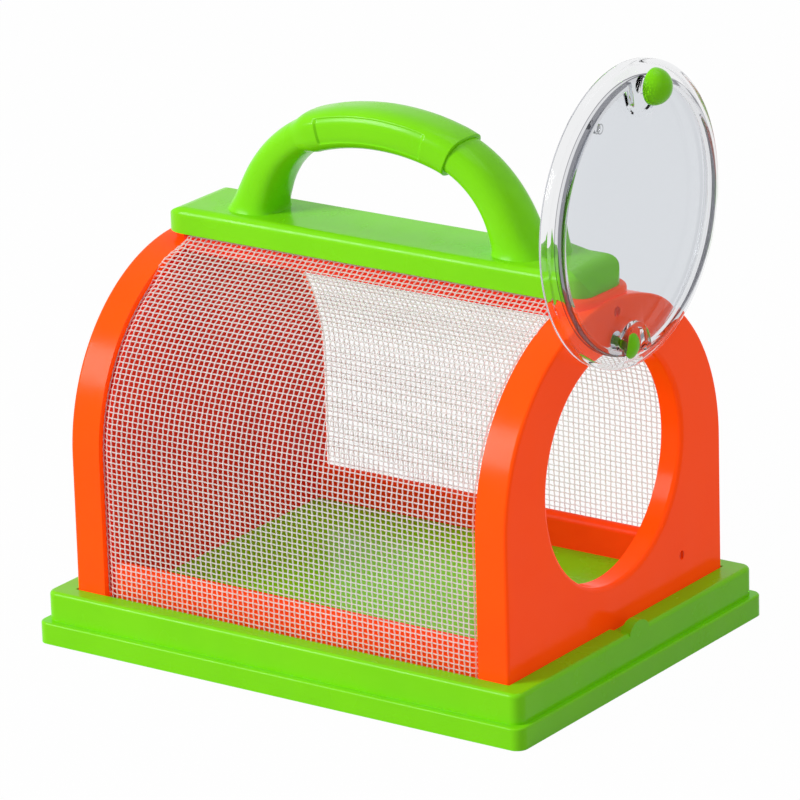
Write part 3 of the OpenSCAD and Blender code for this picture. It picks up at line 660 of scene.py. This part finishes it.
@dataclass
class ScreenSheet:
    """One side's woven screen, woven flat and then stretched over the frame. Millimetres."""

    side: Side
    half_len: float = 77.3
    foot_z: float = 17.1
    spring_z: float = 66.6
    radius: float = 63.1
    top_y: float = 14.2
    top_z: float = 133.7
    bulge: float = 1.4
    end_rise: float = 3.0  # how far each end climbs above the arc beside the spine
    end_lap: float = -0.9  # what its half length gains there
    column_pitch: float = 2.15
    row_pitch: float = 1.9
    wire: float = 0.25
    crimp: float = 0.2
    pocket: float = 3.4  # length over which an end leaves the arch
    climb_over: float = 0.6  # this and the next two are shares of the flat
    lap_from: float = 0.45
    lap_over: float = 0.4

    def __post_init__(self) -> None:
        """Works out the section: a leg, an arc and a flat up to the spine."""
        reach = hypot(self.top_y, self.top_z - self.spring_z)
        flat_turn = acos(self.radius / reach)
        self.leg = self.spring_z - self.foot_z
        self.tangent = acos((self.top_z - self.spring_z) / reach) + flat_turn
        self.arc = self.radius * (pi / 2 - self.tangent)
        self.flat = self.radius * tan(flat_turn)
        self.path = self.leg + self.arc + self.flat
        self.end_turn = asin(self.top_y / (self.radius + self.end_rise))
        self.columns = round(2 * self.half_len / self.column_pitch)
        self.rows = round(self.path / self.row_pitch)

    def wires(self, length: float, spread: float, count: int, crossings: int, over: int) -> bpy.types.Mesh:
        """Weaves one set of wires of the flat screen.

        Args:
            length: Length of each wire.
            spread: Distance from the first wire to the last.
            count: Number of gaps between them.
            crossings: Number of gaps along each wire.
            over: 1 if the set starts over the other one, -1 if under.

        Returns:
            The set's mesh, with its points as (across, off the screen, along).
        """
        bm = bmesh.new()
        bmesh.ops.create_cone(bm, cap_ends=True, segments=4, radius1=self.wire, radius2=self.wire, depth=length)
        rails = [e for e in bm.edges if abs(e.verts[0].co.z - e.verts[1].co.z) > length / 2]
        bmesh.ops.subdivide_edges(bm, edges=rails, cuts=2 * crossings - 1, use_grid_fill=True)
        bmesh.ops.rotate(bm, cent=(0, 0, 0), matrix=Matrix.Rotation(pi / 4, 3, "Z"), verts=bm.verts)
        one = list(bm.verts) + list(bm.edges) + list(bm.faces)
        bmesh.ops.translate(bm, vec=(0, 0, length / 2), verts=bm.verts)
        step = spread / count
        for k in range(1, count + 1):
            copy = bmesh.ops.duplicate(bm, geom=one)["geom"]
            bmesh.ops.translate(bm, vec=(k * step, 0, 0), verts=[g for g in copy if isinstance(g, bmesh.types.BMVert)])
        mesh = to_mesh("wires", bm)
        points = read_points(mesh)
        wave = np.cos(pi * points[:, 2] / (length / crossings) + pi * np.round(points[:, 0] / step))
        points[:, 1] += self.crimp * wave * over
        mesh.vertices.foreach_set("co", points.ravel())
        return mesh

    def stretch(self, flat: np.ndarray) -> np.ndarray:
        """Lays points of the flat screen on the frame.

        Args:
            flat: Rows of (place along X, place up the section, height off the screen).

        Returns:
            The same points in the frame.
        """
        x, up, out = flat.T
        lift = smooth_step(0, self.pocket, self.half_len - np.abs(x))
        past = np.maximum(0, up - self.leg - self.arc)
        share = past / self.flat
        radius = self.radius + out + self.bulge * lift * (1 - share)
        turn = np.where(up < self.leg, pi / 2, np.maximum(self.tangent, pi / 2 - (up - self.leg) / self.radius))
        below = np.minimum(0, up - self.leg)
        tight_y = radius * np.sin(turn) - past * np.cos(turn)
        tight_z = self.spring_z + radius * np.cos(turn) + past * np.sin(turn) + below
        end_turn = np.where(past > 0, self.tangent + (self.end_turn - self.tangent) * share, turn)
        end_radius = radius + self.end_rise * smooth_step(0, self.climb_over, share)
        end_y = end_radius * np.sin(end_turn)
        end_z = self.spring_z + end_radius * np.cos(end_turn) + below
        y = end_y + (tight_y - end_y) * lift
        z = end_z + (tight_z - end_z) * lift
        x = x + np.sign(x) * self.end_lap * (1 - lift) * np.clip((share - self.lap_from) / self.lap_over, 0, 1)
        return np.stack([x, y * self.side.value, z], 1)

    def build(self, paints: Paintbox) -> None:
        """Makes the screen that stands for this side's coarse net."""
        name = self.side.name.lower()
        bm = bmesh.new()
        warp = self.wires(self.path, 2 * self.half_len, self.columns, self.rows, 1)
        weft = self.wires(2 * self.half_len, self.path, self.rows, self.columns, -1)
        for mesh, order in ((warp, (0, 2, 1)), (weft, (2, 0, 1))):
            flat = read_points(mesh)[:, order]
            flat[:, 0] -= self.half_len
            mesh.vertices.foreach_set("co", (self.stretch(flat) * MM).ravel())
            bm.from_mesh(mesh)
            bpy.data.meshes.remove(mesh)
        bmesh.ops.recalc_face_normals(bm, faces=bm.faces)
        screen = make_piece(f"{name}_screen", bm, Body.CAGE, YARN, paints, [f"{name}_net"], 100)


@dataclass
class Handle:
    """Plate, bow and grip of the carrying handle. Millimetres and degrees."""

    plate_top: float = 143.5
    top_z: float = 179.2
    top_r: float = 88.5
    side_r: float = 39.8
    top_a: float = 16.2
    leg_a: float = 66.7
    bow_t: float = 12.2
    bow_w: float = 19.0
    foot_t: float = 18.0
    foot_flare: float = 0.12
    bow_power: float = 2.5
    grip_t: float = 14.6
    grip_w: float = 20.4
    grip_power: float = 2.9
    grip_wall: float = 2.1
    grip_play: float = 0.15
    grip_end_a: float = 24.5
    lip_a: float = 0.25
    lip_soft: float = 0.35
    ramp: tuple[float, float] = (-30.0, -19.5)  # angles of the sleeve's soft left end
    tuck: float = 0.08  # how far that end dips into the bow
    tuck_a: float = 2.3  # angle over which it laps the bow
    step_a: float = 0.05  # half the angle over which the bow thins to its core
    panel: tuple[float, float] = (-14.8, 13.3)  # angles of the side panels' ends
    panel_n: tuple[float, float] = (-4.1, 4.9)  # their edges, off the centreline
    panel_depth: float = 0.6
    panel_soft: float = 0.45
    panel_skin: float = 0.4  # height over the core from which the skin moves
    leg_rings: int = 14
    bow_rings: tuple[int, int, int] = (26, 24, 28)
    bow_sides: int = 56
    grip_rings: tuple[int, int] = (130, 30)
    grip_sides: int = 112

    def __post_init__(self) -> None:
        """Works out where the shoulders and the legs start."""
        self.shoulder = ((self.top_r - self.side_r) * sin(radians(self.top_a)),
                         self.top_z - self.top_r + (self.top_r - self.side_r) * cos(radians(self.top_a)))
        turn = radians(self.leg_a)
        self.leg_x = self.shoulder[0] + self.side_r * sin(turn)
        self.leg_z = self.shoulder[1] + self.side_r * cos(turn)
        self.foot_x = self.leg_x + (self.leg_z - self.plate_top) / tan(turn)

    def centre(self, a: float) -> Vector:
        """Returns the point of the bow's centreline at an angle from the top."""
        x, z = self.turn_centre(a)
        radius, turn = self.turn_radius(a), radians(a)
        return Vector((x + radius * sin(turn), 0, z + radius * cos(turn)))

    def half_t(self, z: float) -> float:
        """Returns half the bow's thickness at a height."""
        drop = (self.top_z - z) / (self.top_z - self.plate_top)
        return self.bow_t / 2 + (self.foot_t - self.bow_t) / 2 * drop ** 2

    def station(self, a: float, half_t: float, half_w: float, power: float) -> Station:
        """Returns the ring across the bow at an angle."""
        turn = radians(a)
        return Station(self.centre(a), Vector((sin(turn), 0, cos(turn))), half_t, half_w, power)

    def leg(self, side: int, u: float) -> Station:
        """Returns the ring across a leg, from its top at u = 0 to its foot at u = 1."""
        x = self.leg_x + (self.foot_x - self.leg_x) * u
        z = self.leg_z + (self.plate_top - self.leg_z) * u
        turn = radians(self.leg_a + (90 - self.leg_a) * u)
        flare = 1 + self.foot_flare * u ** 4
        return Station(Vector((side * x, 0, z)), Vector((side * sin(turn), 0, cos(turn))),
                       self.half_t(z) * flare, self.bow_w / 2 * flare, self.bow_power)

    def bare(self, a: float) -> Station:
        """Returns the bow's own ring at an angle."""
        return self.station(a, self.half_t(self.centre(a).z), self.bow_w / 2, self.bow_power)

    def core(self, a: float, play: float = 0.0) -> Station:
        """Returns the ring of the bow's core under the grip."""
        return self.station(a, self.grip_t / 2 - self.grip_wall + play, self.grip_w / 2 - self.grip_wall + play,
                            self.bow_power)

    def build_bow(self, paints: Paintbox) -> None:
        """Makes the bow, thinner under the grip."""
        left, right = self.ramp[0] + self.tuck_a, self.grip_end_a + 2 * self.step_a
        before, under, after = self.bow_rings
        row = [self.leg(-1, 1 - k / self.leg_rings) for k in range(self.leg_rings)]
        row += [self.bare(a) for a in np.linspace(-self.leg_a, left, before)]
        row += [self.core(a) for a in np.linspace(left + self.step_a, right - self.step_a, under)]
        row += [self.bare(a) for a in np.linspace(right, self.leg_a, after)]
        row += [self.leg(1, k / self.leg_rings) for k in range(1, self.leg_rings + 1)]
        bm = bmesh.new()
        sweep(bm, row, self.bow_sides)
        make_piece("bow", bm, Body.CAGE, LIME, paints, ["handle_bow"], 40)

    def build_grip(self, paints: Paintbox) -> None:
        """Makes the grip: a sleeve with a soft left end and a panel let into each side."""
        outer = []
        for a in np.linspace(self.ramp[0], self.grip_end_a - self.lip_a, self.grip_rings[0]):
            swell = smooth_step(*self.ramp, a)
            bare = self.bare(a)
            low_t, low_w = bare.half_t - self.tuck, bare.half_w - self.tuck
            outer.append(self.station(a, low_t + (self.grip_t / 2 - low_t) * swell,
                                      low_w + (self.grip_w / 2 - low_w) * swell,
                                      self.bow_power + (self.grip_power - self.bow_power) * swell))
        lip = self.station(self.grip_end_a, self.grip_t / 2 - self.lip_soft, self.grip_w / 2 - self.lip_soft,
                           self.grip_power)
        bore = [self.core(a, self.grip_play) for a in np.linspace(self.grip_end_a, self.ramp[0], self.grip_rings[1])]
        bm = bmesh.new()
        sweep(bm, outer + [lip] + bore, self.grip_sides, looped=True)
        self.sink_panels(bm)
        make_piece("grip", bm, Body.CAGE, LIME, paints, ["handle_grip"], 40)

    def sink_panels(self, bm: bmesh.types.BMesh) -> None:
        """Pushes the grip's skin in over both side panels."""
        low, high = self.panel_n
        for v in bm.verts:
            x, y, z = v.co / MM
            if abs(y) < self.grip_w / 2 - self.grip_wall + self.panel_skin:
                continue
            a = self.angle_at(x, z)
            turn_x, turn_z = self.turn_centre(a)
            n = hypot(x - turn_x, z - turn_z) - self.turn_radius(a)
            length = (a - self.panel[0]) * radians(1) * self.top_r, (self.panel[1] - a) * radians(1) * self.top_r
            inside = min(*length, n - low, high - n)
            v.co.y -= copysign(self.panel_depth * smooth_step(0, self.panel_soft, inside), y) * MM

    def turn_centre(self, a: float) -> tuple[float, float]:
        """Returns the centre, (x, z), that the centreline turns about at an angle."""
        if abs(a) < self.top_a:
            return 0.0, self.top_z - self.top_r
        return copysign(self.shoulder[0], a), self.shoulder[1]

    def turn_radius(self, a: float) -> float:
        """Returns the centreline's radius at an angle."""
        return self.top_r if abs(a) < self.top_a else self.side_r

    def angle_at(self, x: float, z: float) -> float:
        """Returns the angle from the top at which a point of the XZ plane lies."""
        a = degrees(atan2(x, z - (self.top_z - self.top_r)))
        if abs(a) < self.top_a:
            return a
        return degrees(atan2(x - copysign(self.shoulder[0], x), z - self.shoulder[1]))

    def build(self, paints: Paintbox) -> None:
        """Makes the handle."""
        paints.dress(["handle_plate"], LIME)
        self.build_bow(paints)
        self.build_grip(paints)


@dataclass
class Door:
    """The clear disc, its knob and its pin. Millimetres, upright above the pivot and then leaned."""

    lime: tuple[str, ...] = ("pivot_pin",)
    pivot_z: float = 117.6
    lean: float = 5.3
    arm: float = 44.0
    panel_x: float = 89.5
    back_x: float = 94.5
    front_x: float = 96.3
    face_rs: tuple[float, float] = (15.0, 28.0)  # radii of spare rings on the flat faces
    rim_r: float = 51.8
    rim_round: float = 1.3
    rim_steps: int = 7
    skirt: tuple[float, float] = (2.2, 1.8)  # depth and wall
    ring: tuple[float, float] = (44.8, 46.7)  # radii
    ring_h: float = 2.2
    ring_foot: tuple[float, float] = (0.4, 0.12)
    ring_top: tuple[float, float] = (0.5, 0.15)
    skirt_soft: tuple[float, float] = (0.4, 0.1)
    drawn: float = 0.5  # how far past the ring's edges the skin is drawn in with it
    slack: float = 0.01
    pin_scallop: tuple[float, float] = (6.65, 8.55)  # radii, about the pin
    knob_arm: float = 43.8
    knob_scallop: tuple[float, float] = (8.65, 10.55)  # radii, about the knob
    pin_boss_r: float = 3.5
    pin_bore_r: float = 1.66
    knob_boss_r: float = 3.15
    boss_root: float = 0.9  # how far the bosses reach into the disc
    boss_soft: float = 0.25
    knob_stand: float = 5.1
    knob_r: float = 6.3
    knob_h: float = 6.2
    knob_belly: float = 1.5
    belly_power: float = 0.8
    knob_steps: tuple[int, int] = (13, 25)
    knob_sides: int = 96
    nub_r: float = 1.6
    nub_len: float = 2.0
    nub_soft: float = 0.4
    nub: tuple[float, float] = (-23.57, 32.44)  # place from the disc's middle
    spin_steps: int = 600
    past: float = 1.0  # how far the bore's cutter reaches past both faces

    def centre(self) -> Triple:
        """Returns the middle of the leaned disc."""
        return self.leaned(0, self.arm)

    def leaned(self, y: float, above: float) -> Triple:
        """Returns where a point of the upright disc, given from the pivot, lies after the lean."""
        turn = radians(self.lean)
        return 0.0, y * cos(turn) + above * sin(turn), self.pivot_z - y * sin(turn) + above * cos(turn)

    def finish(self) -> ClearMoulding:
        """Returns the clear plastic, with painted dark shade lines at the ring's outer wall and round the nub."""
        nub = self.leaned(self.nub[0], self.arm + self.nub[1]), self.nub_r
        return ClearMoulding("clear_moulding", "clear_plastic", (0.69, 0.715, 0.75), (0.62, 0.63, 0.66),
                             (0.1, 0.1, 0.115), (0.87, 0.875, 0.885), self.centre(), self.ring, nub)

    def profile(self) -> list[tuple[float, float]]:
        """Returns the disc's half section, from the middle of its front round its rim to its back."""
        front, back, top = self.front_x, self.back_x, self.front_x + self.ring_h
        low, high = self.ring
        tip = back - self.skirt[0]
        inner = self.rim_r - self.skirt[1]
        arc = [(front - self.rim_round * (1 - cos(t)), self.rim_r - self.rim_round * (1 - sin(t)))
               for t in np.linspace(0, pi / 2, self.rim_steps)]
        return [(front, 0), *[(front, r) for r in self.face_rs],
                *eased(front, low, 1, -1, self.ring_foot), *reversed(eased(top, low, -1, 1, self.ring_top)),
                *eased(top, high, -1, -1, self.ring_top), *reversed(eased(front, high, 1, 1, self.ring_foot)),
                *arc, *reversed(eased(tip, self.rim_r, 1, -1, self.skirt_soft)),
                *eased(tip, inner, 1, 1, self.skirt_soft), *reversed(eased(back, inner, -1, -1, self.skirt_soft)),
                (back, self.face_rs[1]), (back, 0)]

    def ring_edge(self, turn: float, edge: int) -> float:
        """Finds where an edge of the ring runs, drawn in round the pin and the knob.

        Args:
            turn: Angle from straight up, about the disc's middle.
            edge: 0 for the inner edge, 1 for the outer one.

        Returns:
            The edge's distance from the disc's middle.
        """
        found = self.ring[edge]
        for arm, radii, away in ((self.knob_arm, self.knob_scallop, turn), (self.arm, self.pin_scallop, pi - turn)):
            radius = radii[1 - edge]
            aside = arm * sin(away)
            if cos(away) < 0 or abs(aside) >= radius:
                continue
            reach = sqrt(radius ** 2 - aside ** 2)
            if edge == 0 or arm * cos(away) + reach > self.ring[1]:
                found = min(found, arm * cos(away) - reach)
        return found

    def scallop(self, bm: bmesh.types.BMesh) -> None:
        """Draws the ring in round the pin and the knob."""
        low, high = self.ring
        for v in bm.verts:
            x, y, z = v.co / MM
            r = hypot(y, z - self.arm)
            if x < self.front_x - self.slack or not low - self.drawn < r < high + self.drawn:
                continue
            turn = abs(atan2(y, z - self.arm))
            inner, outer = self.ring_edge(turn, 0), self.ring_edge(turn, 1)
            share = min(1.0, max(0.0, (r - low) / (high - low)))
            to = inner + share * (outer - inner) + min(0.0, r - low) + max(0.0, r - high)
            v.co.y, v.co.z = y * to / r * MM, (self.arm + (z - self.arm) * to / r) * MM

    def build_disc(self, paints: Paintbox) -> None:
        """Makes the disc in one piece with its ring, skirt, bosses and nub."""
        disc = lathe(self.profile(), self.arm, self.spin_steps)
        self.scallop(disc)
        knob_z = self.arm + self.knob_arm
        knob_back = self.front_x + self.knob_stand - self.knob_belly
        root = self.back_x + self.boss_root
        nub_y, nub_z = self.nub[0], self.arm + self.nub[1]
        bm = carve(disc, [
            ("UNION", rod(self.panel_x, root, self.pin_boss_r, 0, 0, self.boss_soft)),
            ("UNION", rod(root, knob_back, self.knob_boss_r, 0, knob_z, self.boss_soft)),
            ("UNION", rod(self.back_x - self.nub_len, root, self.nub_r, nub_y, nub_z, self.nub_soft)),
            ("DIFFERENCE", rod(self.panel_x - self.past, self.front_x + self.past, self.pin_bore_r, 0, 0)),
        ])
        self.lean_over(bm)
        make_piece("disc", bm, Body.DOOR, self.finish(), paints, ["door_disc"], 50)

    def build_knob(self, paints: Paintbox) -> None:
        """Makes the knob: a dome with a softly rounded back on the clear boss."""
        base = self.front_x + self.knob_stand
        behind, before = (np.linspace(0, pi / 2, steps) for steps in self.knob_steps)
        back = [(base - self.knob_belly * cos(t) ** self.belly_power, self.knob_r * sin(t)) for t in behind[:-1]]
        dome = [(base + self.knob_h * sin(t), self.knob_r * cos(t)) for t in before[1:-1]]
        bm = lathe([*back, (base, self.knob_r), *dome, (base + self.knob_h, 0)], self.arm + self.knob_arm,
                   self.knob_sides)
        self.lean_over(bm)
        make_piece("knob", bm, Body.DOOR, LIME, paints, ["door_knob"], 40)

    def lean_over(self, bm: bmesh.types.BMesh) -> None:
        """Turns an upright shape about the pivot to the door's rest."""
        lean = Matrix.Translation((0, 0, self.pivot_z * MM)) @ Matrix.Rotation(-radians(self.lean), 4, "X")
        bmesh.ops.transform(bm, matrix=lean, verts=bm.verts)

    def build(self, paints: Paintbox) -> None:
        """Makes the disc and the knob and dresses the pin."""
        self.build_disc(paints)
        self.build_knob(paints)
        paints.dress(self.lime, LIME)


# Studio


@dataclass(frozen=True)
class Lamp:
    """A soft square lamp: its place and side in metres, and its power in watts."""

    name: str
    place: Triple
    size: float
    power: float


@dataclass
class Studio:
    """Camera, floor, lamps and surroundings."""

    lens: float = 266.37
    sensor: float = 36
    clip: tuple[float, float] = (0.05, 50)
    target: Triple = (0, 0, 0.085)
    distance: float = 2.01529
    azimuth: float = 35.377
    elevation: float = 18.32
    roll: float = -1.671
    shift: tuple[float, float] = (0.00684, -0.00811)
    floor_half: float = 4.0
    floor_grey: float = 0.55
    floor_white: float = 0.985
    air: float = 0.45
    air_colour: Colour = (0.98, 0.99, 1)
    aim: Triple = (0, 0, 0.09)
    lamps: tuple[Lamp, ...] = (Lamp("key", (-1.29, -1.62, 1.14), 0.8, 42), Lamp("end", (1.8, -0.6, 0.9), 0.8, 1.5),
                               Lamp("top", (0.2, 0.5, 2.0), 1.2, 7))

    def camera(self) -> None:
        """Places the camera where the photographer stood."""
        a, e = radians(self.azimuth), radians(self.elevation)
        back = Vector((sin(a) * cos(e), -cos(a) * cos(e), sin(e)))
        right = Vector((cos(a), sin(a), 0))
        above = back.cross(right)
        turned = Matrix.Rotation(radians(self.roll), 3, back)
        axes = Matrix((turned @ right, turned @ above, back)).transposed()
        data = bpy.data.cameras.new("camera")
        data.lens, data.sensor_width, data.sensor_fit = self.lens, self.sensor, "HORIZONTAL"
        data.shift_x, data.shift_y = self.shift
        data.clip_start, data.clip_end = self.clip
        eye = add_object("camera", data)
        eye.matrix_world = Matrix.Translation(Vector(self.target) + back * self.distance) @ axes.to_4x4()
        bpy.context.scene.camera = eye

    def hang(self, lamp: Lamp) -> None:
        """Hangs a lamp so that it faces the cage."""
        data = bpy.data.lights.new(lamp.name, "AREA")
        data.shape, data.size, data.energy = "SQUARE", lamp.size, lamp.power
        made = add_object(lamp.name, data)
        made.location = lamp.place
        made.rotation_euler = (Vector(self.aim) - Vector(lamp.place)).to_track_quat("-Z", "Y").to_euler()

    def floor(self) -> None:
        """Lays a pale floor that shows white and keeps the shadow."""
        bm = bmesh.new()
        bmesh.ops.create_grid(bm, x_segments=8, y_segments=8, size=self.floor_half)
        mesh = to_mesh("floor", bm)
        g = Graph(bpy.data.materials.new("pale_floor"))
        paper = g.node("BsdfDiffuse", None, Color=(*[self.floor_grey] * 3, 1))
        white = g.node("Emission", None, Color=WHITE, Strength=1.0)
        share = g.span(g.bright_rays(), 0.0, self.floor_white, 0, 1)
        mesh.materials.append(g.finish(g.mix(share, paper.outputs[0], white.outputs[0])))
        add_object("floor", mesh)

    def surroundings(self) -> None:
        """Sets an even pale light, seen as white by the camera, in gloss and through the clear door."""
        g = Graph(bpy.data.worlds.new("air"))
        air = g.node("Background", None, Color=(*self.air_colour, 1), Strength=self.air)
        white = g.node("Background", None, Color=WHITE)
        bpy.context.scene.world = g.finish(g.mix(g.bright_rays(), air.outputs[0], white.outputs[0]), "OutputWorld")

    def build(self) -> None:
        """Sets up the studio."""
        bpy.context.scene.view_settings.view_transform = "Standard"
        self.camera()
        self.floor()
        self.surroundings()
        for lamp in self.lamps:
            self.hang(lamp)


def main() -> None:
    """Builds the studio and the cage."""
    logging.basicConfig(level=logging.INFO, format="%(name)s: %(message)s")
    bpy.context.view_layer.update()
    Studio().build()
    paints = Paintbox()
    assemblies = [Tray(), Shell(), ScreenSheet(Side.LEFT), ScreenSheet(Side.RIGHT), Handle(), Door()]
    for assembly in assemblies:
        assembly.build(paints)


if __name__ == "__main__":
    main()
